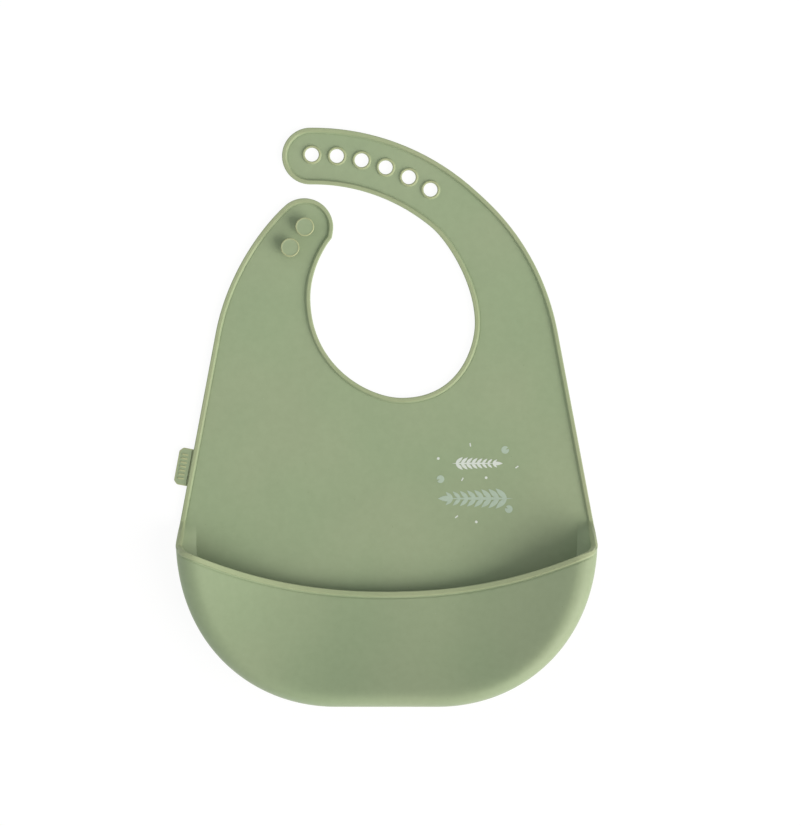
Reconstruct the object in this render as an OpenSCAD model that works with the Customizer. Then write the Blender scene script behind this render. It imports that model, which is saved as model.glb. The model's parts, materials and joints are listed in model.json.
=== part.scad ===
// Silicone bib: one soft moulding, drawn as the regions that bend or stand out from it.
// The back of the panel lies on z = 0, +Y points to the neck and +Z out of the front.
// The origin is on the back face, between the neck opening and the pocket.

/* [Panel] */
// Half width of the bib at the pocket corners
corner_x = 114.7; // [113.5:0.1:117]
// Place of the pocket corners along the length
corner_y = -36; // [-38:0.5:-35]
// Half width where the sides start to rise towards the pocket corners
riser_x = 112.9; // [112:0.1:113.4]
// Place where the sides start to rise
riser_y = -22; // [-24:0.5:-20]
// Half width where the straight sides end, below the shoulders
shoulder_x = 93.6; // [92:0.2:95]
// Place where the straight sides end
shoulder_y = 80.8; // [79:0.2:82]
// Thickness of the panel
web_t = 1.5; // [1.2:0.1:1.8]
// Width of the raised rim
rim_w = 2.8; // [2.4:0.1:3.2]
// Height of the raised rim
rim_h = 3; // [2.6:0.1:3.2]
// Place of the line across the panel where it folds for storage
fold_y = 29; // [27:0.5:31]

/* [Neck opening] */
// Right edge of the opening
neck_right_x = 48.2; // [46:0.2:49]
// Height of the right edge
neck_right_y = 86.1; // [84:0.2:88]
// Lowest point of the opening, across
neck_low_x = 8.2; // [6:0.2:10]
// Lowest point of the opening
neck_low_y = 45.3; // [43:0.2:47]
// Left edge of the opening
neck_left_x = -41.8; // [-43:0.2:-41]
// Height of the left edge
neck_left_y = 100; // [98:0.2:102]

/* [Strap] */
// Centre of the strap's arc, across
strap_cx = -40.4; // [-41:0.1:-40]
// Centre of the strap's arc, along
strap_cy = 60.9; // [60.5:0.1:61.5]
// Radius of the strap's middle line
strap_r = 116.7; // [116:0.1:117.5]
// Width of the strap
strap_w = 31; // [30:0.2:32]
// Direction of the strap's round end from the arc's centre
tip_angle = 90.7; // [90:0.1:91.5]
// Number of snap holes
hole_count = 6; // [6:1:6]
// Radius of a snap hole
hole_r = 3.8; // [3.4:0.1:4.2]
// Outer radius of the raised collar round a hole
collar_r = 5.2; // [4.8:0.1:5.6]
// Height of a collar above the back
collar_h = 2.5; // [2:0.1:3]
// Angle from one hole to the next
hole_step = 6.7; // [6.4:0.05:6.8]
// Direction of the first hole
first_hole_angle = 90.3; // [90:0.1:90.6]

/* [Stud tab] */
// Centre of the tab's round end, across
tab_cx = -45.1; // [-45.5:0.1:-44.7]
// Centre of the tab's round end, along
tab_cy = 138.7; // [138.3:0.1:139.1]
// Radius of the tab's round end
tab_r = 15.8; // [15.4:0.1:16.2]
// Radius of a stud's head
stud_head_r = 5.1; // [4.8:0.1:5.4]
// Radius of a stud's stem
stud_stem_r = 2.7; // [2.4:0.1:3.2]
// Height of a stud above the back
stud_h = 7.6; // [6.5:0.1:8.5]
// Thickness of a stud's head
stud_head_t = 2.4; // [2:0.1:2.8]

/* [Pocket] */
// Lowest edge of the pocket
bottom_y = -122.9; // [-124:0.1:-121]
// Half length of the straight stretch at the bottom
bottom_x = 27.5; // [26:0.5:29]
// Distance from the pocket's outline in to the foot of its wall
foot_in = 10.5; // [10:0.1:11]
// Distance from the pocket's outline in to the top of its shoulder, at the sides
shoulder_side_in = 9.2; // [8.8:0.1:9.8]
// The same distance at the bottom
shoulder_low_in = 6.2; // [5.8:0.1:6.8]
// Height of the pocket's widest line
wall_z = 16; // [15:0.5:17]
// Height of the pocket's corners
corner_z = 16; // [15:0.5:17]
// Height of the pocket's shoulder
shoulder_z = 24; // [23:0.5:25]
// Slope of the front sheet just inside of the shoulder
sink = 0.44; // [0.4:0.01:0.46]
// Place of the middle of the lip
lip_y = -62; // [-64:0.1:-61]
// Distance from the pocket's corners in to the ends of the lip
lip_in = 2.3; // [2.2:0.1:2.8]
// Thickness of the pocket's sheet
sheet_t = 1.6; // [1.4:0.1:1.8]
// Radius of the beaded lip
bead_r = 1.5; // [1.3:0.05:1.6]
// Place of the line where the pocket's front bends as the mouth opens
flap_y = -104; // [-105:0.5:-103]
// Half width of the middle of the front, which moves as the mouth opens
flap_x = 66; // [64:0.5:67]

/* [Side tag] */
// Length of the tag along the edge
tag_l = 20.5; // [19:0.5:22]
// How far the tag stands out from the edge
tag_w = 7.6; // [7:0.1:8.2]
// Thickness of the tag
tag_t = 1.4; // [1.2:0.1:1.6]
// Height of the tag's underside above the back
tag_z = 0.7; // [0.4:0.1:0.9]
// Place of the middle of the tag along the length
tag_y = 7; // [6:0.5:8]

/* [Print] */
// Thickness of the printed ink
ink_t = 0.12; // [0.1:0.01:0.2]
// Length of the upper sprig
sprig_upper_l = 28; // [26:0.5:30]
// Length of the lower sprig
sprig_lower_l = 41; // [39:0.5:43]

/* [Hidden] */

sage = [0.56, 0.62, 0.49];
ink_pale = [0.78, 0.81, 0.77];
ink_aqua = [0.65, 0.71, 0.63];
gap = 0.3;              // clear slit between two bodies at a bending line
far = 400;              // longer than anything in the bib
strap_c = [strap_cx, strap_cy];
tab_c = [tab_cx, tab_cy];
strap_bends = [12, 31, 50];   // directions of the strap's bending lines from the arc's centre
tab_bend_at = [-61, 113.5];   // a point on the tab's bending line
tab_heading = 65;             // direction in which the tab points
hole_arc_r = strap_r + 0.8;   // the holes sit a little outside the strap's middle line

// ---------- plane curves ----------

function dir(a) = [cos(a), sin(a)];
function unit(v) = v / norm(v);
function left_of(v) = [-v[1], v[0]];
function mix(a, b, t) = a + (b - a) * t;
function smooth(t) = let (c = min(1, max(0, t))) c * c * (3 - 2 * c);

// Points of an arc, without its last one
function arc(c, r, a0, a1, n) = [for (i = [0:n - 1]) c + r * dir(mix(a0, a1, i / n))];

// A point of the curve that leaves p along heading a and reaches q along heading b
function curve_at(p, a, la, q, b, lb, t) =
    let (u = 1 - t, p1 = p + la * dir(a), q1 = q - lb * dir(b))
    u * u * u * p + 3 * u * u * t * p1 + 3 * u * t * t * q1 + t * t * t * q;

// Points of that curve, without its last one
function curve(p, a, la, q, b, lb, n) =
    [for (i = [0:n - 1]) curve_at(p, a, la, q, b, lb, i / n)];

// A closed outline moved inwards by d, its corners mitred
function inset(pts, d) = let (n = len(pts))
    [for (i = [0:n - 1])
        let (a = unit(pts[i] - pts[(i + n - 1) % n]),
             b = unit(pts[(i + 1) % n] - pts[i]),
             m = unit(left_of(a) + left_of(b)))
        pts[i] + d / (m * left_of(a)) * m];

function mirrored(pts) = [for (i = [len(pts) - 1:-1:0]) [-pts[i][0], pts[i][1]]];

// ---------- outline of the bib, anticlockwise ----------

corner = [corner_x, corner_y];
riser = [riser_x, riser_y];
shoulder = [shoulder_x, shoulder_y];
side_heading = atan2(shoulder_y - riser_y, shoulder_x - riser_x);
strap_out_a = 48;       // the strap's outer edge is a true arc above this direction
strap_in_a = 50;        // and its inner edge above this one
strap_ro = strap_r + strap_w / 2;
strap_ri = strap_r - strap_w / 2;
tip = strap_c + strap_r * dir(tip_angle);
neck_right = [neck_right_x, neck_right_y];
neck_low = [neck_low_x, neck_low_y];
neck_left = [neck_left_x, neck_left_y];
waist = [-32, 130.2];   // narrowest place between the neck opening and the tab's round end
waist_heading = 54.8;
tab_a0 = -10;           // the tab's round end runs from this direction
tab_a1 = 132.8;         // to this one

// The pocket's outline on the right, from the straight stretch at the bottom up to the corner
function u_at(t) = curve_at([bottom_x, bottom_y], 0, 46.4, corner, 87.4, 53.6, t);
// The flap's side cut crosses it here
cut_x = flap_x + gap + 0.1;
t_cut = lookup(cut_x, [for (i = [0:100]) [u_at(i / 100)[0], i / 100]]);
mid_steps = 5;
side_steps = 14;
riser_steps = 6;
flat_steps = 4;
u_mid = [for (i = [0:mid_steps]) u_at(t_cut * i / mid_steps)];
u_side = [for (i = [1:side_steps]) u_at(mix(t_cut, 1, i / side_steps))];
u_right = concat(u_mid, u_side);

outline = concat(
    u_right,
    [riser],
    curve(shoulder, side_heading, 47.9, strap_c + strap_ro * dir(strap_out_a),
        strap_out_a + 90, 12, 10),
    arc(strap_c, strap_ro, strap_out_a, tip_angle, 16),
    arc(tip, strap_w / 2, tip_angle, tip_angle + 180, 14),
    arc(strap_c, strap_ri, tip_angle, strap_in_a, 14),
    curve(strap_c + strap_ri * dir(strap_in_a), strap_in_a - 90, 10.4, neck_right, -90, 22.6, 8),
    curve(neck_right, -90, 12, neck_low, -180, 32.2, 10),
    curve(neck_low, -180, 17.7, neck_left, -270, 37.8, 12),
    curve(neck_left, 90, 15.3, waist, waist_heading, 3.2, 5),
    curve(waist, waist_heading, 4.5, tab_c + tab_r * dir(tab_a0), tab_a0 + 90, 4.4, 3),
    arc(tab_c, tab_r, tab_a0, tab_a1, 14),
    curve(tab_c + tab_r * dir(tab_a1), tab_a1 + 90, 22.1, [-shoulder_x, shoulder_y],
        -side_heading, 28.9, 10),
    [[-shoulder_x, shoulder_y], [-riser_x, riser_y]],
    mirrored(u_right));
inner_outline = inset(outline, rim_w);

// ---------- the pocket's wall line and its stations ----------

u_flat = [for (i = [1:flat_steps - 1]) [mix(-bottom_x, bottom_x, i / flat_steps), bottom_y]];
u_riser = [for (i = [1:riser_steps]) mix(corner, riser, i / riser_steps)];
wall_line = concat(mirrored(u_riser), mirrored(u_right), u_flat, u_right, u_riser);
last = len(wall_line) - 1;
left_corner = riser_steps;                    // station of the left corner
left_cut = left_corner + side_steps;          // station of the flap's left side cut
right_cut = last - left_cut;
right_corner = last - left_corner;

// Inward direction at a station: straight across on the rising sides, else square to the line
function wall_normal(i) =
    i <= left_corner ? [1, 0] : i >= right_corner ? [-1, 0]
    : left_of(unit(wall_line[i + 1] - wall_line[i - 1]));

// How far a station has climbed down from the flat edge to the pocket's corner, 0 to 1
function riser_drop(i) = smooth(min(1, min(i, last - i) / riser_steps));

// Height of the pocket's widest line, which climbs towards the corners
climb_y = -62;
function equator_z(y) = mix(wall_z, corner_z, smooth((y - climb_y) / (corner_y - climb_y)));

// Upper end of the wall at a station, outside and inside
function top_out(i) = riser_drop(i) * equator_z(min(corner_y, wall_line[i][1]));
function top_in(i) = top_out(i) + web_t * (1 - riser_drop(i));

// Distance from the outline in to the wall's foot, which runs straight along the rising sides
function foot_at(i) =
    i <= left_corner || i >= right_corner ? abs(wall_line[i][0]) - (corner_x - foot_in) : foot_in;

// Plan point of a station moved inwards by d
function wall_at(i, d) = wall_line[i] + d * wall_normal(i);

// Points of the wall from its foot (q = 0) up to the widest line (q = 1)
function wall_out(i, q) =
    let (p = wall_at(i, foot_at(i) * (1 - sin(90 * q)))) [p[0], p[1], q * top_out(i)];
function wall_in(i, q) =
    let (p = wall_at(i, sheet_t + (foot_at(i) - sheet_t) * (1 - sin(90 * q))))
    [p[0], p[1], mix(web_t, top_in(i), q)];

// ---------- the pocket's shoulder and front sheet ----------

function to_segment(q, a, b) =
    let (d = b - a, t = min(1, max(0, (q - a) * d / (d * d)))) norm(q - a - t * d);
function edge_distance(q) =
    min([for (i = [0:last - 1]) to_segment(q, wall_line[i], wall_line[i + 1])]);

// Plan line of the lip
lip_x = corner_x - lip_in;
lip_end_y = -38.3;
function lip_at(x) = [x, lip_y + (lip_end_y - lip_y) * pow(abs(x) / lip_x, 2.2)];

// Distance from the outline in to the top of the shoulder at a place along the length
shoulder_span = 73;     // above the bottom, over which the low distance grows into the side one
function shoulder_at(y) =
    mix(shoulder_low_in, shoulder_side_in, smooth((y - bottom_y) / shoulder_span));

// How far the front sheet has sunk at a distance past the top of the shoulder
crest = 2.2;            // length over which the shoulder turns into the front's slope
sink_ease = 0.0026;     // the slope eases by twice this per millimetre
function sunk(past) = sink * (past - crest * (1 - exp(-past / crest))) - sink_ease * past * past;

// Height of the sheet's outer face (k = 0) or inner face (k = sheet_t) over a place
function crown_z(q, k) =
    let (r = edge_distance(q),
         h = equator_z(q[1]),
         w = shoulder_at(q[1]),
         a = min(1, max(0, (r - k) / (w - k))))
    h + (shoulder_z - k - h) * sqrt(1 - (1 - a) * (1 - a)) - sunk(max(0, r - w));
function on_crown(q, k) = [q[0], q[1], crown_z(q, k)];

// Where the line of a station meets the lip
function lip_of(i) =
    let (f = i <= left_cut ? (left_cut - i) / side_steps : (i - right_cut) / side_steps)
    lip_at(sign(i - last / 2) * mix(cut_x, lip_x, f));

// Rows of the sheet, close together over the round shoulder
crown_rows = [0, 0.015, 0.045, 0.09, 0.15, 0.22, 0.33, 0.5, 0.75, 1];
wall_rows = [0, 0.2, 0.4, 0.6, 0.8, 1];

// A closed solid between an outer and an inner grid of points
module shell_of(outer, inner) {
    m = len(outer);
    n = len(outer[0]);
    o = function(i, j) i * n + j;
    s = function(i, j) m * n + i * n + j;
    quads = concat(
        [for (i = [0:m - 2], j = [0:n - 2]) [o(i, j), o(i + 1, j), o(i + 1, j + 1), o(i, j + 1)]],
        [for (i = [0:m - 2], j = [0:n - 2]) [s(i, j), s(i, j + 1), s(i + 1, j + 1), s(i + 1, j)]],
        [for (i = [0:m - 2]) [o(i, 0), s(i, 0), s(i + 1, 0), o(i + 1, 0)]],
        [for (i = [0:m - 2]) [o(i, n - 1), o(i + 1, n - 1), s(i + 1, n - 1), s(i, n - 1)]],
        [for (j = [0:n - 2]) [o(0, j), o(0, j + 1), s(0, j + 1), s(0, j)]],
        [for (j = [0:n - 2]) [o(m - 1, j), s(m - 1, j), s(m - 1, j + 1), o(m - 1, j + 1)]]);
    polyhedron(
        concat([for (row = outer) each row], [for (row = inner) each row]),
        [for (q = quads) each [[q[0], q[1], q[2]], [q[0], q[2], q[3]]]]);
}

// Side and bottom walls: from the foot at the panel's edge up to the widest line
module wall_between(a, b) {
    shell_of([for (i = [a:b]) [for (q = wall_rows) wall_out(i, q)]],
        [for (i = [a:b]) [for (q = wall_rows) wall_in(i, q)]]);
}

// Plan point of the inner face on the way to the lip; the flap's side cuts run straight along
function sheet_at(i, t) =
    let (p = mix(wall_at(i, sheet_t), lip_of(i), t))
    i == left_cut ? [-cut_x, p[1]] : i == right_cut ? [cut_x, p[1]] : p;

// One side of the sheet, from the widest line over the shoulder to the lip
module side_sheet(a, b) {
    shell_of(
        [for (i = [a:b]) [for (t = crown_rows) on_crown(mix(wall_at(i, 0), lip_of(i), t), 0)]],
        [for (i = [a:b]) [for (t = crown_rows) on_crown(sheet_at(i, t), sheet_t)]]);
}

module pocket_wall_left() { color(sage) wall_between(0, left_cut); }
module pocket_wall_right() { color(sage) wall_between(right_cut, last); }
module pocket_side_left() { color(sage) side_sheet(left_corner, left_cut); }
module pocket_side_right() { color(sage) side_sheet(right_cut, right_corner); }

// The bottom wall goes on over the shoulder to the line where the front bends
module pocket_wall_bottom() {
    ledge_rows = [0.03, 0.1, 0.2, 0.34, 0.6, 1];
    end_y = flap_y - gap / 2;
    color(sage) shell_of(
        [for (i = [left_cut:right_cut]) concat([for (q = wall_rows) wall_out(i, q)],
            [for (t = ledge_rows) let (p = wall_at(i, 0))
                on_crown([p[0], mix(p[1], end_y, t)], 0)])],
        [for (i = [left_cut:right_cut]) concat([for (q = wall_rows) wall_in(i, q)],
            [for (t = ledge_rows) let (p = wall_at(i, sheet_t))
                on_crown([mix(p[0], wall_at(i, 0)[0], t), mix(p[1], end_y, t)], sheet_t)])]);
}

// The middle of the front, which swings out as the mouth opens
module pocket_front() {
    columns = [for (i = [0:16]) mix(-flap_x, flap_x, i / 16)];
    rows = [for (j = [0:8]) j / 8];
    start_y = flap_y + gap / 2;
    color(sage) shell_of(
        [for (x = columns) [for (t = rows) on_crown([x, mix(start_y, lip_at(x)[1], t)], 0)]],
        [for (x = columns) [for (t = rows) on_crown([x, mix(start_y, lip_at(x)[1], t)], sheet_t)]]);
}

// ---------- beaded lip ----------

// A round bead swept along a path of points in space
module bead(path, r) {
    n = len(path);
    sides = 8;
    axis = function(i) let (d = path[min(n - 1, i + 1)] - path[max(0, i - 1)]) d / norm(d);
    ring = function(i)
        let (t = axis(i), u = unit(cross(t, [0, 0, 1])), v = cross(u, t))
        [for (k = [0:sides - 1]) let (a = 360 * (k + 0.5) / sides)
            path[i] + r * (cos(a) * u + sin(a) * v)];
    skin = [for (i = [0:n - 2], k = [0:sides - 1])
        let (a = i * sides + k, b = i * sides + (k + 1) % sides)
        each [[a, a + sides, b + sides], [a, b + sides, b]]];
    start_cap = [for (k = [1:sides - 2]) [0, k, k + 1]];
    end_cap = [for (k = [1:sides - 2]) let (o = (n - 1) * sides) [o, o + k + 1, o + k]];
    polyhedron([for (i = [0:n - 1]) each ring(i)], concat(skin, start_cap, end_cap));
}

bead_drop = 0.4;        // the bead's centre lies this far below the sheet's outer face
bead_end = 0.4;         // the beads stop this far short of the flap's side cuts
function lip_point(x) = let (p = lip_at(x)) [p[0], p[1], crown_z(p, 0) - bead_drop];

// Left half of the lip: down the rising edge, round the corner, and in to the flap's side cut
bead_start = 0.8;       // the bead starts this far below the flat rim's end
lip_left_path = concat(
    [for (i = [0:left_corner - 1]) let (p = wall_at(i, bead_r))
        [p[0], p[1] - (i == 0 ? bead_start : 0), top_in(i)]],
    [[-corner_x + bead_r, corner_y - 0.4, corner_z + 0.6],
     [-corner_x + bead_r + 0.4, corner_y - 1.9, corner_z + 2.6]],
    [for (j = [1:14]) lip_point(-mix(lip_x, cut_x + bead_end, pow(j / 14, 1.5)))]);

module pocket_lip_left() { color(sage) bead(lip_left_path, bead_r); }
module pocket_lip_right() { mirror([1, 0, 0]) pocket_lip_left(); }
module pocket_lip() {
    half = flap_x - bead_end;
    color(sage) bead([for (i = [0:16]) lip_point(mix(-half, half, i / 16))], bead_r);
}

// ---------- regions of the flat panel ----------

// Everything on the left of a line through p that runs along heading a, in plan
module half_plane(p, a) {
    translate(p) rotate(a) translate([-far, 0]) square([2 * far, far]);
}

// The strap between two directions from its centre, with half the slit at each side
neck_clear_r = 60;      // a circle about the strap's centre that stays inside of the strap
module slice(a0, a1) {
    difference() {
        intersection() {
            half_plane(strap_c + gap / 2 * left_of(dir(a0)), a0);
            half_plane(strap_c - gap / 2 * left_of(dir(a1)), a1 + 180);
        }
        translate(strap_c) circle(neck_clear_r, $fn = 48);
    }
}

// The strap's round end and all that lies beyond its last bending line
strap_clear_r = 97.5;   // between the stud tab and the strap's inner edge
past_tip_a = 170;       // a direction beyond the strap's round end
module strap_end_area() {
    difference() {
        slice(strap_bends[2], past_tip_a);
        translate(strap_c) circle(strap_clear_r, $fn = 96);
    }
}
module strap_area() {
    union() {
        difference() {
            half_plane(strap_c - gap / 2 * left_of(dir(strap_bends[0])), strap_bends[0]);
            translate(strap_c) circle(neck_clear_r, $fn = 48);
            translate([-far, -far]) square([far, 2 * far]);
        }
        difference() {
            half_plane(strap_c, strap_bends[2]);
            translate(strap_c) circle(strap_clear_r, $fn = 96);
        }
    }
}
module tab_area(d) {
    difference() {
        half_plane(tab_bend_at + d * dir(tab_heading), tab_heading - 90);
        translate([0, -far]) square([far, 2 * far]);
        strap_area();
    }
}
module band(y0, y1) { translate([-far, y0]) square([2 * far, y1 - y0]); }
module upper_area() {
    difference() {
        band(fold_y + gap / 2, far);
        strap_area();
        tab_area(-gap / 2);
    }
}

// Flat web and raised rim inside a region given as children
module web() {
    color(sage) linear_extrude(web_t) intersection() {
        polygon(inner_outline);
        children();
    }
}
module rim() {
    color(sage) linear_extrude(rim_h) intersection() {
        difference() {
            polygon(outline);
            polygon(inner_outline);
        }
        children();
    }
}

// ---------- lower panel ----------

floor_outline = [for (i = [0:last]) wall_at(i, foot_at(i))];
module lower_panel() {
    color(sage) linear_extrude(web_t) union() {
        intersection() {
            polygon(inner_outline);
            band(riser_y, fold_y - gap / 2);
        }
        polygon(floor_outline);
    }
}
module panel_rim_right() {
    rim() translate([0, riser_y]) square([far, fold_y - gap / 2 - riser_y]);
}
module panel_rim_left() {
    rim() translate([-far, riser_y]) square([far, fold_y - gap / 2 - riser_y]);
}

// ---------- upper panel ----------

neck_box = [62, 66];    // the neck rim lies within these distances left and right of the middle
module upper_panel() { web() upper_area(); }
module neck_rim() {
    rim() intersection() {
        upper_area();
        translate([-neck_box[0], 0]) square([neck_box[0] + neck_box[1], far]);
    }
}
module shoulder_rim_left() {
    rim() intersection() {
        upper_area();
        translate([-far, 0]) square([far - neck_box[0], far]);
    }
}
module shoulder_rim_right() {
    rim() intersection() {
        upper_area();
        translate([neck_box[1], 0]) square([far, far]);
    }
}

// ---------- strap ----------

module strap_root() { web() slice(strap_bends[0], strap_bends[1]); }
module strap_root_rim() { rim() slice(strap_bends[0], strap_bends[1]); }
module strap_middle() { web() slice(strap_bends[1], strap_bends[2]); }
module strap_middle_rim() { rim() slice(strap_bends[1], strap_bends[2]); }

function hole_at(k) = strap_c + hole_arc_r * dir(first_hole_angle - hole_step * (k - 1));
module strap_end() {
    difference() {
        web() strap_end_area();
        for (k = [1:hole_count])
            translate([each hole_at(k), -1]) cylinder(h = web_t + 2, r = collar_r, $fn = 64);
    }
}
module strap_end_rim() { rim() strap_end_area(); }

// A raised collar whose bore takes a stud
module hole_collar(k) {
    soft = 0.4;         // bevel of the collar's top edges
    color(sage) translate([each hole_at(k), 0]) rotate_extrude($fn = 64)
        polygon([[hole_r, 0], [collar_r, 0], [collar_r, collar_h - soft],
            [collar_r - soft, collar_h], [hole_r, collar_h]]);
}
module hole_collar_1() { hole_collar(1); }
module hole_collar_2() { hole_collar(2); }
module hole_collar_3() { hole_collar(3); }
module hole_collar_4() { hole_collar(4); }
module hole_collar_5() { hole_collar(5); }
module hole_collar_6() { hole_collar(6); }

// ---------- stud tab ----------

module stud_tab() { web() tab_area(gap / 2); }
module stud_tab_rim() { rim() tab_area(gap / 2); }

// A snap stud: a stem that flares at its foot, and a flat round head
module stud(p) {
    foot = 0.8;         // flare of the stem's foot
    soft = 0.5;         // bevel of the head's edges
    color(sage) translate([each p, web_t]) rotate_extrude($fn = 64)
        polygon([[0, 0], [stud_stem_r + foot, 0], [stud_stem_r, foot],
            [stud_stem_r, stud_h - web_t - stud_head_t],
            [stud_head_r - soft, stud_h - web_t - stud_head_t],
            [stud_head_r, stud_h - web_t - stud_head_t + soft],
            [stud_head_r, stud_h - web_t - soft],
            [stud_head_r - soft, stud_h - web_t], [0, stud_h - web_t]]);
}
stud_upper_at = [-44.8, 138.7];
stud_lower_at = [-52.8, 127.4];
module stud_upper() { stud(stud_upper_at); }
module stud_lower() { stud(stud_lower_at); }

// ---------- side tag ----------

// The middle of the tag's root on the panel's left edge, with +X out from the edge
tag_root = [-mix(riser_x, shoulder_x, (tag_y - riser_y) / (shoulder_y - riser_y)), tag_y];
module on_tag() { rotate(270 - side_heading) children(); }
module side_tag() {
    cut = 2;            // corners taken off the tag's free side
    color(sage) translate([each tag_root, tag_z]) linear_extrude(tag_t) on_tag()
        polygon([[gap, -tag_l / 2], [tag_w - cut, -tag_l / 2], [tag_w, -tag_l / 2 + cut],
            [tag_w, tag_l / 2 - cut], [tag_w - cut, tag_l / 2], [gap, tag_l / 2]]);
}
// A plain pattern of raised bars on the tag
module side_tag_mark() {
    bar = [3.4, 1];     // size of a bar, across the tag and along it
    pitch = 2.2;
    raised = 0.4;
    color(sage) translate([each tag_root, tag_z + tag_t]) linear_extrude(raised) on_tag()
        for (i = [-3:3]) translate([tag_w / 2 + 0.3, i * pitch]) square(bar, center = true);
}

// ---------- print ----------

module ink(c) { color(c) translate([0, 0, web_t]) linear_extrude(ink_t) children(); }

// A leaf from the origin along +X
module leaf(l, w) {
    n = 8;
    polygon(concat([for (i = [0:n]) [l * i / n, w / 2 * sin(180 * i / n)]],
        [for (i = [n - 1:-1:1]) [l * i / n, -w / 2 * sin(180 * i / n)]]));
}
// A long sprig: a stem with a leaf at its end and pairs of leaflets that get smaller towards it
module sprig(l, w, pairs) {
    first = 0.08;       // place of the first pair along the stem, as a share of its length
    final = 0.8;        // place of the last pair
    spread = 42;        // angle between a leaflet and the stem
    slim = 0.34;        // width of a leaflet as a share of its length
    leaf(l * 0.9, w * 0.13);
    translate([l * final, 0]) leaf(l * (1 - final), w * 0.26);
    for (i = [0:pairs - 1], side = [-1, 1]) {
        t = mix(first, final, i / (pairs - 1));
        s = w * (0.72 - 0.34 * t);
        translate([l * t, 0]) rotate(side * spread) leaf(s, s * slim);
    }
}
module print_sprig_upper() {
    ink(ink_pale) translate([35.5, 9.4]) sprig(sprig_upper_l, 7.6, 8);
}
module print_sprig_lower() {
    ink(ink_aqua) translate([69, -9.8]) rotate(180) sprig(sprig_lower_l, 12, 8);
}
// Small round leaves with a notch
module print_round_leaves() {
    spots = [[64.8, 16.8, 30], [29.4, 0.8, 200], [66.8, -15.6, 150]];
    ink(ink_aqua) for (s = spots) translate([s[0], s[1]]) rotate(s[2]) difference() {
        circle(r = 2.1, $fn = 32);
        polygon([[0.4, 0], [3, -0.9], [3, 0.9]]);
    }
}
module print_dots() {
    spots = [[28.2, 12.1], [54.4, 1.6], [49, -22.6]];
    ink(ink_pale) for (s = spots) translate(s) circle(r = 0.75, $fn = 24);
}
module print_dashes() {
    dashes = [[45.7, 19.6, 100], [71.2, 7.4, 35], [41.4, 0.7, 60], [38.2, -19.8, 40]];
    ink(ink_pale) for (d = dashes) translate([d[0], d[1]]) rotate(d[2])
        square([2, 0.7], center = true);
}

lower_panel();
panel_rim_left();
panel_rim_right();
upper_panel();
neck_rim();
shoulder_rim_left();
shoulder_rim_right();
strap_root();
strap_root_rim();
strap_middle();
strap_middle_rim();
strap_end();
strap_end_rim();
hole_collar_1();
hole_collar_2();
hole_collar_3();
hole_collar_4();
hole_collar_5();
hole_collar_6();
stud_tab();
stud_tab_rim();
stud_upper();
stud_lower();
pocket_wall_left();
pocket_wall_right();
pocket_wall_bottom();
pocket_side_left();
pocket_side_right();
pocket_front();
pocket_lip_left();
pocket_lip_right();
pocket_lip();
side_tag();
side_tag_mark();
print_sprig_upper();
print_sprig_lower();
print_round_leaves();
print_dots();
print_dashes();
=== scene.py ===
import json
import math
import bmesh
import bpy
import numpy as np
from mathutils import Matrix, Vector
from mathutils.geometry import delaunay_2d_cdt

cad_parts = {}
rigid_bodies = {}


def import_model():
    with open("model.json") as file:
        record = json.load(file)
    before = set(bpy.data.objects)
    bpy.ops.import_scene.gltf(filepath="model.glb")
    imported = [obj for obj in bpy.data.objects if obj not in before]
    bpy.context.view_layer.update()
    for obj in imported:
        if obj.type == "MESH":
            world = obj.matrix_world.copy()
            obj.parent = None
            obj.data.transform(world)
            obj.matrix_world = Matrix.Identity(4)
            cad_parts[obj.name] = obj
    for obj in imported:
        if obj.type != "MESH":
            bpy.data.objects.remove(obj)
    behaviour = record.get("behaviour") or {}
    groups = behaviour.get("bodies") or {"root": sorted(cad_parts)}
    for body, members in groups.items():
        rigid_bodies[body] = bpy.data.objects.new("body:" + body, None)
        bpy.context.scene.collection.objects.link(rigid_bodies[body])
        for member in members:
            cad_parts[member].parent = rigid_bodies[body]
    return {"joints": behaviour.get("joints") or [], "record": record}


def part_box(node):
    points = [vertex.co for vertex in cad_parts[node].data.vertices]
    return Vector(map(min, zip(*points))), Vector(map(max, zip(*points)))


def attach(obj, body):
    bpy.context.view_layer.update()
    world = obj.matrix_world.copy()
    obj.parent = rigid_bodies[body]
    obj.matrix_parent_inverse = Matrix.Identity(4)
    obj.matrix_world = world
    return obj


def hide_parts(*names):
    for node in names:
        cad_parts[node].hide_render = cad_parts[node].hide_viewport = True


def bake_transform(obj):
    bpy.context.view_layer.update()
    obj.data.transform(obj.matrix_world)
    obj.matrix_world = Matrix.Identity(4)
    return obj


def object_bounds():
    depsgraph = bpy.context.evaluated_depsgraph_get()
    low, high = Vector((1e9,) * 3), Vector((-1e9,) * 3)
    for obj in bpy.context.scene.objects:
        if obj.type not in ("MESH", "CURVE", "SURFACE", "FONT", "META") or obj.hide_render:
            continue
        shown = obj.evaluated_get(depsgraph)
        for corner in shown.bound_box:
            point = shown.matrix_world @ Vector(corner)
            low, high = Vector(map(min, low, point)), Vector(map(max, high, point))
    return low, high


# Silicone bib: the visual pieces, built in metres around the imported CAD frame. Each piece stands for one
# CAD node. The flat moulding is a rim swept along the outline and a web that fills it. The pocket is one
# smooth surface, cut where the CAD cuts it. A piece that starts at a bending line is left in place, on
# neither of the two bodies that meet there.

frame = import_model()
cad_low, cad_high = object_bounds()
joints = {j["name"]: j for j in frame["joints"]}
mounts = {m["name"]: m for m in frame["record"]["mounts"]}
MM = 0.001


# ---- plane geometry ----

def plan(v):
    """The x and y of a point."""
    return np.array([v[0], v[1]], float)


def heading(degrees):
    """The unit direction at an angle from +X, in plan."""
    a = math.radians(degrees)
    return np.array([math.cos(a), math.sin(a)])


def angle_of(v):
    return math.degrees(math.atan2(v[1], v[0]))


def unit(v):
    v = np.asarray(v, float)
    return v / np.linalg.norm(v, axis=-1, keepdims=True)


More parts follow.
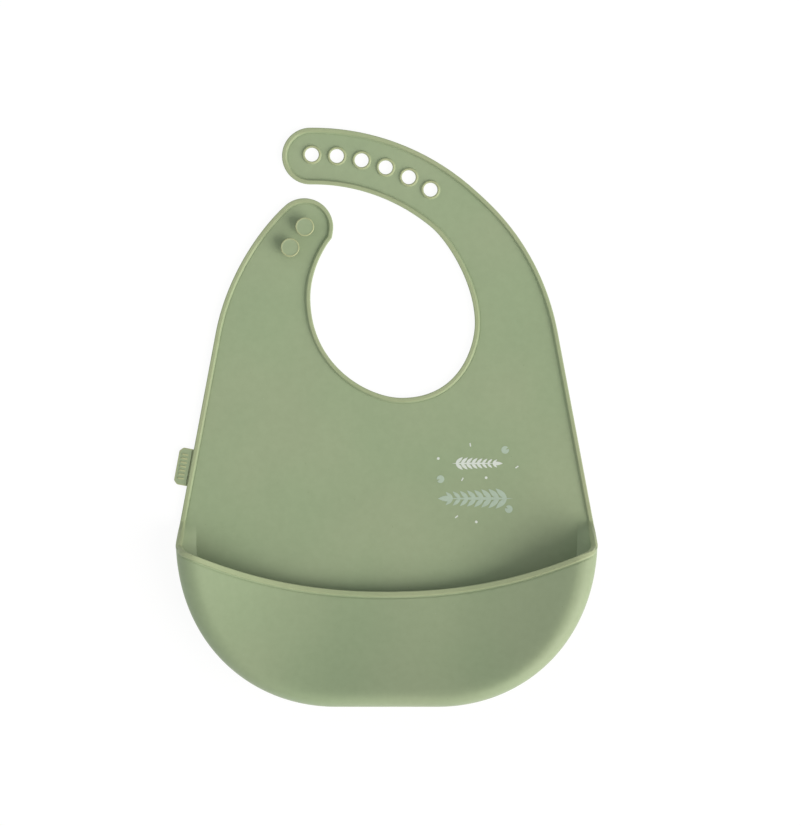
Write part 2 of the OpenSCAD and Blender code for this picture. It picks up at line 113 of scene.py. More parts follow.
def left_of(v):
    """Directions turned 90 degrees anticlockwise."""
    v = np.asarray(v, float)
    return np.stack([-v[..., 1], v[..., 0]], axis=-1)


def mix(a, b, t):
    return a + (b - a) * t


def smooth(t):
    """An even rise from 0 to 1 that starts and ends level."""
    t = np.clip(t, 0, 1)
    return t * t * (3 - 2 * t)


def mirrored(v):
    """A plan point on the other side of the bib's middle line."""
    return np.array([-v[0], v[1]])


def arc(centre, radius, a0, a1, n=160):
    """Points of an arc but its last."""
    return np.array([centre + radius * heading(mix(a0, a1, i / n)) for i in range(n)])


def line(p, q, n=160):
    """Points of a straight stretch but its last."""
    return np.array([mix(p, q, i / n) for i in range(n)])


def curve_at(p, a, reach_p, q, b, reach_q, t):
    """Points of the curve that leaves p along heading a and reaches q along heading b."""
    t = np.asarray(t, float)[..., None]
    p1 = p + reach_p * heading(a)
    q1 = q - reach_q * heading(b)
    u = 1 - t
    return u**3 * p + 3 * u * u * t * p1 + 3 * u * t * t * q1 + t**3 * q


def curve(p, a, reach_p, q, b, reach_q, n=160):
    """Points of that curve but its last."""
    return curve_at(p, a, reach_p, q, b, reach_q, np.arange(n) / n)


def lengths_along(path):
    return np.concatenate([[0], np.cumsum(np.linalg.norm(np.diff(path, axis=0), axis=1))])


def values_at(s, lengths, values):
    """Rows of values at distances s along a path with those lengths."""
    return np.stack([np.interp(s, lengths, column) for column in values.T], axis=-1)


def inside(points, loop):
    """Which points lie inside a closed loop."""
    x, y = points[:, 0], points[:, 1]
    found = np.zeros(len(points), bool)
    for a, b in zip(loop, np.roll(loop, -1, axis=0)):
        if a[1] == b[1]:
            continue
        crosses = (a[1] > y) != (b[1] > y)
        found ^= crosses & (x < (b[0] - a[0]) * (y - a[1]) / (b[1] - a[1]) + a[0])
    return found


# ---- sizes that the frame holds ----

def hinge(name):
    """Place and direction, in plan, of a joint's axis."""
    return plan(joints[name]["pos_m"]), unit(plan(joints[name]["axis"]))


side_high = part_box("pocket_side_right")[1]
rim_low, rim_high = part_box("panel_rim_right")
tip_low, tip_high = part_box("strap_end_rim")
tab_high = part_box("stud_tab_rim")[1]
neck_low_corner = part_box("neck_rim")[0]
WEB_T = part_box("lower_panel")[1].z
RIM_H = rim_high.z
RIM_W = 2.8 * MM  # from the outline in to the foot of the rim's flank
BOTTOM_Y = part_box("pocket_wall_bottom")[0].y

corner = np.array([side_high.x, side_high.y])
riser = np.array([rim_high.x, rim_low.y])
side_heading = 180 - angle_of(hinge("tag_flip")[1])
SIDE_LENGTH = 104.6 * MM
shoulder = riser + SIDE_LENGTH * heading(side_heading)


def strap_circle():
    """Centre and radius of the strap's middle line, from the axes of two of its bending lines."""
    p, a = hinge("strap_bend_root")
    q, b = hinge("strap_bend_end")
    t = np.linalg.solve(np.column_stack([a, -b]), q - p)
    centre = p + t[0] * a
    return centre, float(np.linalg.norm(p - centre))


strap_c, strap_r = strap_circle()
strap_half = tip_high.y - strap_c[1] - strap_r
strap_outer = strap_r + strap_half
strap_inner = strap_r - strap_half
tip_angle = math.degrees(math.acos((tip_low.x + strap_half - strap_c[0]) / strap_r))
tip = strap_c + strap_r * heading(tip_angle)
STRAP_OUT_A = 48  # where the strap's outer edge joins its circle, in degrees round it
STRAP_IN_A = 50  # the same for its inner edge

TAB_R = 15.8 * MM  # the stud tab's round end, and where that starts and ends
TAB_A0 = -10
TAB_A1 = 132.8
tab_c = np.array([tab_high.x - TAB_R, tab_high.y - TAB_R])
WAIST = np.array([-32, 130.2]) * MM  # the narrowest place under the tab, and the edge's heading there
WAIST_HEADING = 54.8

neck_right = np.array([48.2, 86.1]) * MM
neck_low = np.array([8.2 * MM, neck_low_corner.y + RIM_W])
neck_left = np.array([neck_low_corner.x + RIM_W, 100 * MM])


# ---- the flat edge ----

# An open path from the right riser over the strap, the neck opening and the tab to the left riser. A curve
# is given by its two ends, the headings there, and how far it reaches along each.

edge = np.vstack([
    line(riser, shoulder),
    curve(shoulder, side_heading, 47.9 * MM,
          strap_c + strap_outer * heading(STRAP_OUT_A), STRAP_OUT_A + 90, 12 * MM),
    arc(strap_c, strap_outer, STRAP_OUT_A, tip_angle),
    arc(tip, strap_half, tip_angle, tip_angle + 180),
    arc(strap_c, strap_inner, tip_angle, STRAP_IN_A),
    curve(strap_c + strap_inner * heading(STRAP_IN_A), STRAP_IN_A - 90, 10.4 * MM,
          neck_right, -90, 22.6 * MM),
    curve(neck_right, -90, 12 * MM, neck_low, -180, 32.2 * MM),
    curve(neck_low, -180, 17.7 * MM, neck_left, -270, 37.8 * MM),
    curve(neck_left, 90, 15.3 * MM, WAIST, WAIST_HEADING, 3.2 * MM),
    curve(WAIST, WAIST_HEADING, 4.5 * MM, tab_c + TAB_R * heading(TAB_A0), TAB_A0 + 90, 4.4 * MM),
    arc(tab_c, TAB_R, TAB_A0, TAB_A1),
    curve(tab_c + TAB_R * heading(TAB_A1), TAB_A1 + 90, 22.1 * MM,
          mirrored(shoulder), -side_heading, 28.9 * MM),
    line(mirrored(shoulder), mirrored(riser)),
    [mirrored(riser)],
])
edge_s = lengths_along(edge)
edge_length = edge_s[-1]
END_TURN = 8 * MM  # over which the cross-section turns straight across, at the path's two ends


def edge_at(s):
    """Points of the edge path at distances s along it."""
    return values_at(s, edge_s, edge)


def edge_inward(s):
    """Directions into the silicone at distances s along the edge path."""
    reach = 0.6 * MM
    ahead = edge_at(np.minimum(s + reach, edge_length))
    behind = edge_at(np.maximum(s - reach, 0))
    n = left_of(unit(ahead - behind))
    to_start = smooth(1 - s / END_TURN)[:, None]
    to_end = smooth(1 - (edge_length - s) / END_TURN)[:, None]
    return unit(n * (1 - to_start) * (1 - to_end) + to_start * [-1, 0] + to_end * [1, 0])


def crossings(name, reach):
    """Distances along the edge at which it crosses a joint's axis, within reach of the joint."""
    p, a = hinge(name)
    side = (edge - p) @ left_of(a)
    cuts = [i for i in np.nonzero(side[:-1] * side[1:] < 0)[0] if np.linalg.norm(edge[i] - p) < reach]
    return [mix(edge_s[i], edge_s[i + 1], side[i] / (side[i] - side[i + 1])) for i in cuts]


STATION = 1.1 * MM  # spacing of the rim's cross-sections
PANEL_REACH, STRAP_REACH, TAB_REACH = 150 * MM, 30 * MM, 40 * MM
fold_right, fold_left = crossings("panel_fold", PANEL_REACH)
root_out, root_in = crossings("strap_bend_root", STRAP_REACH)
middle_out, middle_in = crossings("strap_bend_middle", STRAP_REACH)
end_out, end_in = crossings("strap_bend_end", STRAP_REACH)
tab_right, tab_left = crossings("tab_bend", TAB_REACH)


def stations(s0, s1):
    return np.linspace(s0, s1, max(3, round((s1 - s0) / STATION) + 1))


# ---- meshes ----

def placed(name, data):
    """A new object in the scene."""
    found = bpy.data.objects.new(name, data)
    bpy.context.scene.collection.objects.link(found)
    return found


HIGHLIGHT_ATTRIBUTE = "raised"  # the attribute that tells the material how much painted highlight a vertex gets where it stands out as an edge
RIM_HIGHLIGHT = 0.35  # how much painted highlight the rims and the lip get as edges that stand out


def raised_by_height(vertices, most):
    """Painted highlight values that grow from 0 at the web's face to the most at the top of the rim."""
    return most * np.clip((np.array(vertices)[:, 2] - WEB_T) / (RIM_H - WEB_T), 0, 1)


def make_piece(node, vertices, faces, material, slot, normals=None, raised=None, body=None, bend=None):
    """The closed mesh that stands for a CAD node, smooth but for sharp edges. It rides on a body; given a
    bend instead, it stays in place on no body. Its painted highlight values, from 0 to 1, say how much the
    material lightens each vertex as an edge of the moulding."""
    sharp_deg = 40
    mesh = bpy.data.meshes.new(node + "_smooth")
    mesh.from_pydata([tuple(map(float, v)) for v in vertices], [], faces)
    # Painted highlight, per vertex, for the material to lighten the edges with
    if raised is not None:
        values = mesh.attributes.new(HIGHLIGHT_ATTRIBUTE, "FLOAT", "POINT").data
        values.foreach_set("value", np.asarray(raised, np.float32))
    bm = bmesh.new()
    bm.from_mesh(mesh)
    bmesh.ops.recalc_face_normals(bm, faces=bm.faces)
    bm.to_mesh(mesh)
    bm.free()
    mesh.shade_smooth()
    mesh.set_sharp_from_angle(angle=math.radians(sharp_deg))
    if normals is not None:
        mesh.normals_split_custom_set_from_vertices([tuple(n) for n in normals])
    mesh.materials.append(material)
    piece = placed(node + "_smooth", mesh)
    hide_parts(node)
    if bend is None:
        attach(piece, body)
    else:
        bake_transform(piece)


def sweep_faces(m, n, offset=0):
    """Faces of m rings of n points: the skin between the rings, and a cap at each end."""
    def at(i, j):
        return offset + i * n + j % n
    skin = [(at(i, j), at(i + 1, j), at(i + 1, j + 1), at(i, j + 1)) for i in range(m - 1) for j in range(n)]
    return skin + [tuple(at(0, j) for j in range(n)), tuple(at(m - 1, n - 1 - j) for j in range(n))]


def shell_faces(m, n):
    """Faces of a sheet with an outer and an inner grid of m by n points, closed all round."""
    o, s = np.arange(2 * m * n).reshape(2, m, n)
    strips = [
        (o[:-1, :-1], o[1:, :-1], o[1:, 1:], o[:-1, 1:]),
        (s[:-1, :-1], s[:-1, 1:], s[1:, 1:], s[1:, :-1]),
        (o[:-1, 0], s[:-1, 0], s[1:, 0], o[1:, 0]),
        (o[:-1, -1], o[1:, -1], s[1:, -1], s[:-1, -1]),
        (o[0, :-1], o[0, 1:], s[0, 1:], s[0, :-1]),
        (o[-1, :-1], s[-1, :-1], s[-1, 1:], o[-1, 1:]),
    ]
    return [quad for strip in strips for quad in np.stack(strip, axis=-1).reshape(-1, 4).tolist()]


def ring_faces(m, n):
    """Faces of m cross-sections of n points that stand round in a ring."""
    def at(i, j):
        return (i % m) * n + j % n
    return [(at(i, j), at(i + 1, j), at(i + 1, j + 1), at(i, j + 1)) for i in range(m) for j in range(n)]


def bow(centre, radius, a0, a1, n):
    """Points of a small arc in a cross-section, both ends included."""
    return [tuple(np.array(centre) + radius * heading(mix(a0, a1, i / n))) for i in range(n + 1)]


MERGE_MM = 1e-5  # points closer than this become one when a plate is divided into triangles


def within(points, loops, holes):
    """Which points lie inside one of the loops and outside of all holes."""
    found = np.any([inside(points, loop) for loop in loops], axis=0)
    for hole in holes:
        found &= ~inside(points, hole)
    return found


def plate(loops, low, high, holes=(), spacing=None):
    """A flat plate over the union of the loops, less the holes: its vertices and faces.
    With a spacing, it also gets points inside, so that it can bend."""
    loops = [np.asarray(v, float) for v in loops]
    holes = [np.asarray(v, float) for v in holes]
    rims = loops + holes
    points = np.vstack(rims)
    edges, count = [], 0
    for rim in rims:
        edges += [(count + i, count + (i + 1) % len(rim)) for i in range(len(rim))]
        count += len(rim)
    if spacing:
        lo, hi = points.min(0), points.max(0)
        xs = np.arange(lo[0] + spacing / 2, hi[0], spacing)
        ys = np.arange(lo[1] + spacing / 2, hi[1], spacing)
        grid = np.array([(x + spacing / 2 * (j % 2), y) for j, y in enumerate(ys) for x in xs])
        grid = grid[within(grid, loops, holes)]
        nearest = np.array([np.min(np.linalg.norm(points - g, axis=1)) for g in grid])
        points = np.vstack([points, grid[nearest > 0.4 * spacing]])
    found = delaunay_2d_cdt([Vector(p) for p in points / MM], edges, [], 1, MERGE_MM)
    flat = np.array([tuple(v) for v in found[0]]) * MM
    triangles = np.array([f for f in found[2] if len(f) == 3])
    triangles = triangles[within(flat[triangles].mean(axis=1), loops, holes)]
    used = np.unique(triangles)
    number = {v: i for i, v in enumerate(used)}
    n = len(used)
    top = [tuple(number[v] for v in t) for t in triangles]
    bottom = [tuple(n + v for v in reversed(t)) for t in top]
    seen = {(t[i], t[(i + 1) % 3]) for t in top for i in range(3)}
    walls = [(a, n + a, n + b, b) for a, b in seen if (b, a) not in seen]
    vertices = [(x, y, z) for z in (high, low) for x, y in flat[used]]
    return vertices, top + bottom + walls


# ---- materials ----

def node_of(tree, kind, **values):
    node = tree.nodes.new(kind)
    for key, value in values.items():
        if key in node.inputs:
            node.inputs[key].default_value = value
        else:
            setattr(node, key, value)
    return node


def ramp(tree, source, low, high, to_low, to_high):
    """The source, stretched from the range low..high to the range to_low..to_high."""
    node = node_of(tree, "ShaderNodeMapRange", clamp=True)
    for socket, value in zip(node.inputs[1:5], (low, high, to_low, to_high)):
        socket.default_value = value
    tree.links.new(source, node.inputs[0])
    return node.outputs[0]


def colour_mix(tree, factor, a, b, blend="MIX"):
    node = node_of(tree, "ShaderNodeMix", data_type="RGBA", blend_type=blend)
    for socket, value in ((node.inputs[0], factor), (node.inputs[6], a), (node.inputs[7], b)):
        if hasattr(value, "is_linked"):
            tree.links.new(value, socket)
        else:
            socket.default_value = value if isinstance(value, float) else (*value, 1)
    return node.outputs[2]


def specks(tree, coords, per_metre, radius):
    """1 inside sparse specks of about that radius, 0 elsewhere."""
    cells = node_of(tree, "ShaderNodeTexVoronoi", Scale=per_metre, Randomness=1.0)
    tree.links.new(coords, cells.inputs["Vector"])
    return ramp(tree, cells.outputs["Distance"], radius * per_metre * 0.6, radius * per_metre, 1, 0)


def noise(tree, coords, per_metre, detail=2.0, roughness=0.5):
    node = node_of(tree, "ShaderNodeTexNoise", Scale=per_metre, Detail=detail, Roughness=roughness)
    tree.links.new(coords, node.inputs["Vector"])
    return node.outputs["Fac"]


def bump(tree, height, strength, distance):
    node = node_of(tree, "ShaderNodeBump", Strength=strength, Distance=distance)
    tree.links.new(height, node.inputs["Height"])
    return node


def new_material(name, roughness):
    material = bpy.data.materials.new(name)
    material.use_nodes = True
    tree = material.node_tree
    shader = tree.nodes["Principled BSDF"]
    shader.inputs["Roughness"].default_value = roughness
    coords = node_of(tree, "ShaderNodeTexCoord").outputs["Object"]
    return material, tree, shader, coords


HIGHLIGHT_TINT = (1.37, 1.18, 1.06)  # how much the painted highlight lightens and warms the silicone along its edges that stand out
DARK_DUST = (0.16, 0.17, 0.10)
PALE_DUST = (0.55, 0.58, 0.46)


def silicone():
    """Matt sage silicone: soft drifts of tone, a fine skin, painted highlights along its edges that stand
    out, and a few specks of dust.
    """
    material, tree, shader, coords = new_material("sage_silicone", 0.55)
    green = (0.297, 0.374, 0.226)
    grey = (0.316, 0.380, 0.236)
    drift = ramp(tree, noise(tree, coords, 16, 1.5), 0.35, 0.65, 0, 1)
    colour = colour_mix(tree, drift, green, grey)
    clouding = ramp(tree, noise(tree, coords, 260, 3), 0.3, 0.7, 0.975, 1.025)
    tint = node_of(tree, "ShaderNodeCombineColor")
    for socket in tint.inputs:
        tree.links.new(clouding, socket)
    colour = colour_mix(tree, 1.0, colour, tint.outputs[0], "MULTIPLY")
    # Painted highlight: the vertex attribute lightens and warms the silicone along the moulding's edges
    edges = node_of(tree, "ShaderNodeAttribute", attribute_name=HIGHLIGHT_ATTRIBUTE)
    highlighted = colour_mix(tree, 1.0, colour, HIGHLIGHT_TINT, "MULTIPLY")
    colour = colour_mix(tree, edges.outputs["Fac"], colour, highlighted)
    for dust, per_metre, radius, most in ((DARK_DUST, 120, 0.28 * MM, 0.45), (PALE_DUST, 97, 0.22 * MM, 0.4)):
        share = ramp(tree, specks(tree, coords, per_metre, radius), 0, 1, 0, most)
        colour = colour_mix(tree, share, colour, dust)
    tree.links.new(colour, shader.inputs["Base Color"])
    tree.links.new(ramp(tree, noise(tree, coords, 90, 2), 0.3, 0.7, 0.50, 0.60), shader.inputs["Roughness"])
    shader.inputs["Specular IOR Level"].default_value = 0.35
    shader.inputs["Sheen Weight"].default_value = 0.12
    shader.inputs["Sheen Roughness"].default_value = 0.45
    skin = bump(tree, noise(tree, coords, 2600, 2), 0.35, 0.04 * MM)
    waves = bump(tree, noise(tree, coords, 21, 0.5), 1.0, 1.1 * MM)
    tree.links.new(skin.outputs[0], waves.inputs["Normal"])
    tree.links.new(waves.outputs[0], shader.inputs["Normal"])
    return material


def ink(name, light, dark):
    """Matt printed ink, a little uneven where it lies thin."""
    material, tree, shader, coords = new_material(name, 0.7)
    thin = ramp(tree, noise(tree, coords, 900, 3), 0.35, 0.7, 0, 1)
    tree.links.new(colour_mix(tree, thin, light, dark), shader.inputs["Base Color"])
    shader.inputs["Specular IOR Level"].default_value = 0.3
    grain = bump(tree, noise(tree, coords, 3500, 2), 0.2, 0.03 * MM)
    tree.links.new(grain.outputs[0], shader.inputs["Normal"])
    return material


SAGE = silicone()
PALE_INK = ink("pale_ink", (0.69, 0.73, 0.69), (0.64, 0.68, 0.635))
AQUA_INK = ink("aqua_ink", (0.435, 0.53, 0.435), (0.405, 0.495, 0.40))


def moulded(node, vertices, faces, **more):
    """A piece of silicone."""
    make_piece(node, vertices, faces, SAGE, "silicone", **more)


# ---- bends ----

def bend_at(joint, toward, begin, length):
    """A bend beyond a joint's axis, on the side that toward points to: its two bodies, and the plan points
    where it starts, begin past the axis, and where it is complete, after length."""
    p, a = hinge(joint)
    across = left_of(a)
    across = across if across @ toward > 0 else -across
    start, end = p + begin * across, p + (begin + length) * across
    return joints[joint]["parent"], joints[joint]["child"], start, end


BEND_BEGIN = 0.8 * MM
FOLD_BEND, STRAP_BEND, TAB_BEND = 30 * MM, 31 * MM, 12.5 * MM
fold_bend = bend_at("panel_fold", heading(90), BEND_BEGIN, FOLD_BEND)
root_bend = bend_at("strap_bend_root", heading(90), BEND_BEGIN, STRAP_BEND)
middle_bend = bend_at("strap_bend_middle", heading(120), BEND_BEGIN, STRAP_BEND)
end_bend = bend_at("strap_bend_end", heading(140), BEND_BEGIN, STRAP_BEND)
tab_bend = bend_at("tab_bend", heading(65), BEND_BEGIN / 2, TAB_BEND)


# ---- rims and webs of the flat moulding ----

SEAM = 3.7 * MM  # a rim piece ends on the flat, this far in from the outline


def rim_profile():
    """Cross-section of a rim piece, as points (distance in from the outline, height)."""
    soft_back, soft_out, soft_in, cove = 0.35 * MM, 0.6 * MM, 0.3 * MM, 0.2 * MM
    slope = 62  # steepness of the rim's inner flank, in degrees
    top_end = 1.85 * MM  # where the top turns down into the flank
    deep = 0.12 * MM  # depth of the crease along the flank's foot
    flank_top = np.array([top_end, RIM_H - soft_in]) + soft_in * heading(90 - slope)
    cove_low = WEB_T - deep + cove + cove * math.sin(math.radians(270 - slope))
    run = (flank_top[1] - cove_low) / math.tan(math.radians(slope))
    cove_x = flank_top[0] + run - cove * math.cos(math.radians(270 - slope))
    return (
        [(SEAM, 0), (soft_back * 1.4, 0)]
        + bow((soft_back, soft_back), soft_back, 270, 180, 4)
        + [(0, soft_back * 1.5), (0, RIM_H - soft_out * 1.2)]
        + bow((soft_out, RIM_H - soft_out), soft_out, 180, 90, 6)
        + [(soft_out * 1.25, RIM_H), (top_end - 0.15 * MM, RIM_H)]
        + bow((top_end, RIM_H - soft_in), soft_in, 90, 90 - slope, 4)
        + bow((cove_x, WEB_T - deep + cove), cove, 270 - slope, 305, 6)
        + bow((cove_x + 0.34 * MM, WEB_T - 0.2 * MM), 0.2 * MM, 125, 90, 3)
        + [(SEAM, WEB_T)]
    )


def seam_points(s0, s1):
    s = stations(s0, s1)
    return edge_at(s) + SEAM * edge_inward(s)


def rim_mesh(stretches):
    """Vertices and faces of the rim along one or more stretches of the edge path."""
    profile = np.array(rim_profile())
    vertices, faces = [], []
    for s0, s1 in stretches:
        s = stations(s0, s1)
        at, inward = edge_at(s), edge_inward(s)
        faces += sweep_faces(len(s), len(profile), len(vertices))
        for p, n in zip(at, inward):
            vertices += [(*(p + d * n), z) for d, z in profile]
    return vertices, faces


def rim(node, *stretches, **where):
    vertices, faces = rim_mesh(stretches)
    # Painted highlight, growing towards the rim's top
    moulded(node, vertices, faces, raised=raised_by_height(vertices, RIM_HIGHLIGHT), **where)


WEB_SPACING = 3 * MM
TAB_SPACING = 1.2 * MM  # closer, for the tab bends over a short length


def web(node, stretches, holes=(), extra=(), spacing=WEB_SPACING, **where):
    """The flat web between rims. Its boundary runs along the stretches' seams, along any extra line, and
    straight from each to the next."""
    loop = np.vstack([seam_points(*s) for s in stretches] + list(extra))
    dense = []
    for a, b in zip(loop, np.roll(loop, -1, axis=0)):
        steps = max(1, round(np.linalg.norm(b - a) / spacing))
        dense += [mix(a, b, i / steps) for i in range(steps)]
    moulded(node, *plate([dense], 0, WEB_T, holes, spacing), **where)


rim("panel_rim_right", (0, fold_right), body="bib")
rim("panel_rim_left", (fold_left, edge_length), body="bib")
rim("shoulder_rim_right", (fold_right, root_out), bend=fold_bend)
rim("shoulder_rim_left", (tab_left, fold_left), bend=fold_bend)
rim("neck_rim", (root_in, tab_right), bend=fold_bend)
rim("strap_root_rim", (root_out, middle_out), (middle_in, root_in), bend=root_bend)
rim("strap_middle_rim", (middle_out, end_out), (end_in, middle_in), bend=middle_bend)
rim("strap_end_rim", (end_out, end_in), bend=end_bend)
rim("stud_tab_rim", (tab_right, tab_left), bend=tab_bend)

web("upper_panel", [(fold_right, root_out), (root_in, tab_right), (tab_left, fold_left)], bend=fold_bend)
web("strap_root", [(root_out, middle_out), (middle_in, root_in)], bend=root_bend)
web("strap_middle", [(middle_out, end_out), (end_in, middle_in)], bend=middle_bend)
web("stud_tab", [(tab_right, tab_left)], spacing=TAB_SPACING, bend=tab_bend)


# ---- snap holes and studs ----

ROUND = 96  # points round a turned shape


def turned(profile, centre):
    """Vertices of a closed cross-section (radius, height) turned about a vertical axis."""
    return [(*(plan(centre) + r * heading(360 * i / ROUND)), z) for i in range(ROUND) for r, z in profile]


COLLAR_SEAM = 6.0 * MM  # a collar piece ends on the flat, this far from the hole's middle


def collar_profile(hole_r, top):
    """Cross-section of a snap hole's soft round collar, out to its seam with the web."""
    half, cove, soft_back, short = 0.65 * MM, 0.35 * MM, 0.3 * MM, 0.1 * MM
    foot = hole_r + 2 * half + cove + short
    return (
        [(COLLAR_SEAM, 0), (hole_r + soft_back + 2 * short, 0)]
        + bow((hole_r + soft_back, soft_back), soft_back, 270, 180, 4)
        + [(hole_r, soft_back + 2 * short)]
        + bow((hole_r + half, top - half), half, 180, 15, 12)
        + bow((foot, WEB_T + cove), cove, 195, 270, 5)
        + [(foot + short, WEB_T), (COLLAR_SEAM, WEB_T)]
    )


hole_names = sorted(n for n in mounts if n.startswith("snap_hole_"))
web("strap_end", [(end_out, end_in)], bend=end_bend,
    holes=[arc(plan(mounts[n]["pos_m"]), COLLAR_SEAM, 0, 360, ROUND) for n in hole_names])
for name in hole_names:
    node = name.replace("snap_hole", "hole_collar")
    profile = collar_profile(mounts[name]["dims"]["r_mm"] * MM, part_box(node)[1].z)
    rings = turned(profile, mounts[name]["pos_m"])
    # Painted highlight on the collar, growing towards its top
    moulded(node, rings, ring_faces(ROUND, len(profile)), raised=raised_by_height(rings, 1), bend=end_bend)


def stud(node):
    """A snap stud: a stem with a flared foot, and a flat head with a shallow dish inside its edge."""
    low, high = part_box(node)
    head_r = (high.x - low.x) / 2
    top = high.z
    stem_r, flare, neck, head_t, soft, dish = 2.7 * MM, 1.2 * MM, 0.5 * MM, 2.4 * MM, 0.45 * MM, 0.2 * MM
    root = low.z - 0.4 * MM  # it starts inside the web
    under = top - head_t
    profile = (
        [(0, root), (stem_r + flare, root)]
        + bow((stem_r + flare, low.z + flare), flare, 270, 180, 8)
        + bow((stem_r + neck, under - neck), neck, 180, 90, 5)
        + [(head_r - soft * 1.3, under)]
        + bow((head_r - soft, under + soft), soft, -90, 0, 6)
        + bow((head_r - soft, top - soft), soft, 0, 90, 8)
        + [(head_r - soft - 0.25 * MM, top - 0.02 * MM), (head_r - soft - 0.55 * MM, top - dish),
           (head_r - soft - 0.7 * MM, top - dish), (head_r - soft - 1.0 * MM, top - dish), (0, top - dish)]
    )
    centre = ((low.x + high.x) / 2, (low.y + high.y) / 2)
    n = len(profile)
    rings = turned(profile[1:-1], centre)
    base, crown = len(rings), len(rings) + 1
    rings += [(*centre, profile[0][1]), (*centre, profile[-1][1])]
    faces = []
    for i in range(ROUND):
        a, b = i * (n - 2), ((i + 1) % ROUND) * (n - 2)
        faces += [(a + j, b + j, b + j + 1, a + j + 1) for j in range(n - 3)]
        faces += [(base, b, a), (crown, a + n - 3, b + n - 3)]
    from_centre = np.linalg.norm(np.array(rings)[:, :2] - centre, axis=1)
    # Painted highlight: a pale ring round the edge of the head
    raised = np.clip((from_centre - head_r) / soft + 1.8, 0, 1)
    moulded(node, rings, faces, raised=raised, body="stud_tab")


stud("stud_upper")
stud("stud_lower")


# ---- the pocket ----

BOTTOM_X = 27.5 * MM  # half the straight stretch at the pocket's bottom
FOOT_IN = 10.5 * MM  # from the pocket's outline in to the foot of its wall
SHOULDER_SIDE_IN = 9.2 * MM  # from the outline in to the top of its shoulder, at the sides
SHOULDER_LOW_IN = 6.2 * MM  # the same, at the bottom
SHOULDER_SPAN = 73 * MM  # above the bottom, over which the one grows into the other
WALL_Z = 16 * MM  # height of the pocket's widest line
SHEET_T = 1.6 * MM
SINK = 0.44  # slope of the front sheet just inside of the shoulder
CREST = 2.2 * MM  # length over which the shoulder's crest turns into that slope
EASE = 2.6  # the slope eases by twice this per metre
LIP_POWER = 2.2  # how late the lip's curve climbs towards the corners
BEAD_R = 1.5 * MM  # half the bead's width
flap_pos = joints["mouth_open"]["pos_m"]
FLAP_Y, SHOULDER_Z = flap_pos[1], flap_pos[2]
CUT_X = -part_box("pocket_side_left")[1].x  # where the middle of the front ends
LIP_Y = -62.0 * MM  # the lip's lowest point and its two ends
LIP_END_Y = -38.3 * MM
LIP_X = corner[0] - 2.3 * MM
LOW_REACH, CORNER_REACH, CORNER_HEADING = 46.4 * MM, 53.6 * MM, 87.4  # of the outline's curve
SIDE_BEND_END = np.array([103.5, -41]) * MM

RISER_STEPS, SIDE_STEPS, MID_STEPS, FLAT_STEPS = 16, 64, 22, 20


def u_at(t):
    """The pocket's outline on the right, from the straight stretch at the bottom up to the corner."""
    low_end = np.array([BOTTOM_X, BOTTOM_Y])
    return curve_at(low_end, 0, LOW_REACH, corner, CORNER_HEADING, CORNER_REACH, t)


fine_t = np.linspace(0, 1, 4001)
t_cut = float(np.interp(CUT_X, u_at(fine_t)[:, 0], fine_t))
u_right = u_at(np.append(np.linspace(0, t_cut, MID_STEPS + 1), np.linspace(t_cut, 1, SIDE_STEPS + 1)[1:]))
u_flat = np.array([(mix(-BOTTOM_X, BOTTOM_X, i / FLAT_STEPS), BOTTOM_Y) for i in range(1, FLAT_STEPS)])
u_riser = line(corner, riser, RISER_STEPS)[1:]
right_part = np.vstack([u_right, u_riser, riser])
wall_line = np.vstack([right_part[::-1] * [-1, 1], u_flat, right_part])
last = len(wall_line) - 1
left_corner = RISER_STEPS
left_cut = left_corner + SIDE_STEPS
right_cut, right_corner = last - left_cut, last - left_corner

# The same line, close enough for smooth distances
fine_right = np.vstack([u_at(np.linspace(0, 1, 700)), riser])
fine_line = np.vstack([fine_right[::-1] * [-1, 1], fine_right])


def distance_to(path, q):
    """Distances of points q from a path, in plan."""
    a, d = path[:-1], np.diff(path, axis=0)
    flat = q.reshape(-1, 2)
    found = np.empty(len(flat))
    batch = 2000
    for k in range(0, len(flat), batch):
        part = flat[k:k + batch, None, :] - a[None]
        t = np.clip(np.sum(part * d, axis=2) / np.sum(d * d, axis=1), 0, 1)
        found[k:k + batch] = np.min(np.linalg.norm(part - t[..., None] * d, axis=2), axis=1)
    return found.reshape(q.shape[:-1])


index = np.arange(last + 1)
riser_drop = smooth(np.minimum(1, np.minimum(index, last - index) / RISER_STEPS))
top_out = riser_drop * WALL_Z
top_in = top_out + WEB_T * (1 - riser_drop)
on_riser = (index <= left_corner) | (index >= right_corner)
foot_at = np.where(on_riser, np.abs(wall_line[:, 0]) - (corner[0] - FOOT_IN), FOOT_IN)
wall_normal = left_of(unit(np.gradient(wall_line, axis=0)))
wall_normal[:left_corner + 1] = [1, 0]
wall_normal[right_corner:] = [-1, 0]

# Next to a corner the normals turn from straight across to square over a few stations
TURN_STATIONS = 5
for k in range(1, TURN_STATIONS):
    share = k / TURN_STATIONS
    for i, straight in ((left_corner + k, [1, 0]), (right_corner - k, [-1, 0])):
        wall_normal[i] = unit(mix(np.array(straight, float), wall_normal[i], share))


def crown_z(q, k):
    """Height of the sheet's outer face (k = 0) or inner face (k = SHEET_T) over points q."""
    r = distance_to(fine_line, q)
    width = mix(SHOULDER_LOW_IN, SHOULDER_SIDE_IN, smooth((q[..., 1] - BOTTOM_Y) / SHOULDER_SPAN))
    a = np.clip((r - k) / (width - k), 0, 1)
    past = np.maximum(0, r - width)
    sunk = SINK * (past - CREST * (1 - np.exp(-past / CREST))) - EASE * past**2
    return WALL_Z + (SHOULDER_Z - k - WALL_Z) * np.sqrt(1 - (1 - a) ** 2) - sunk


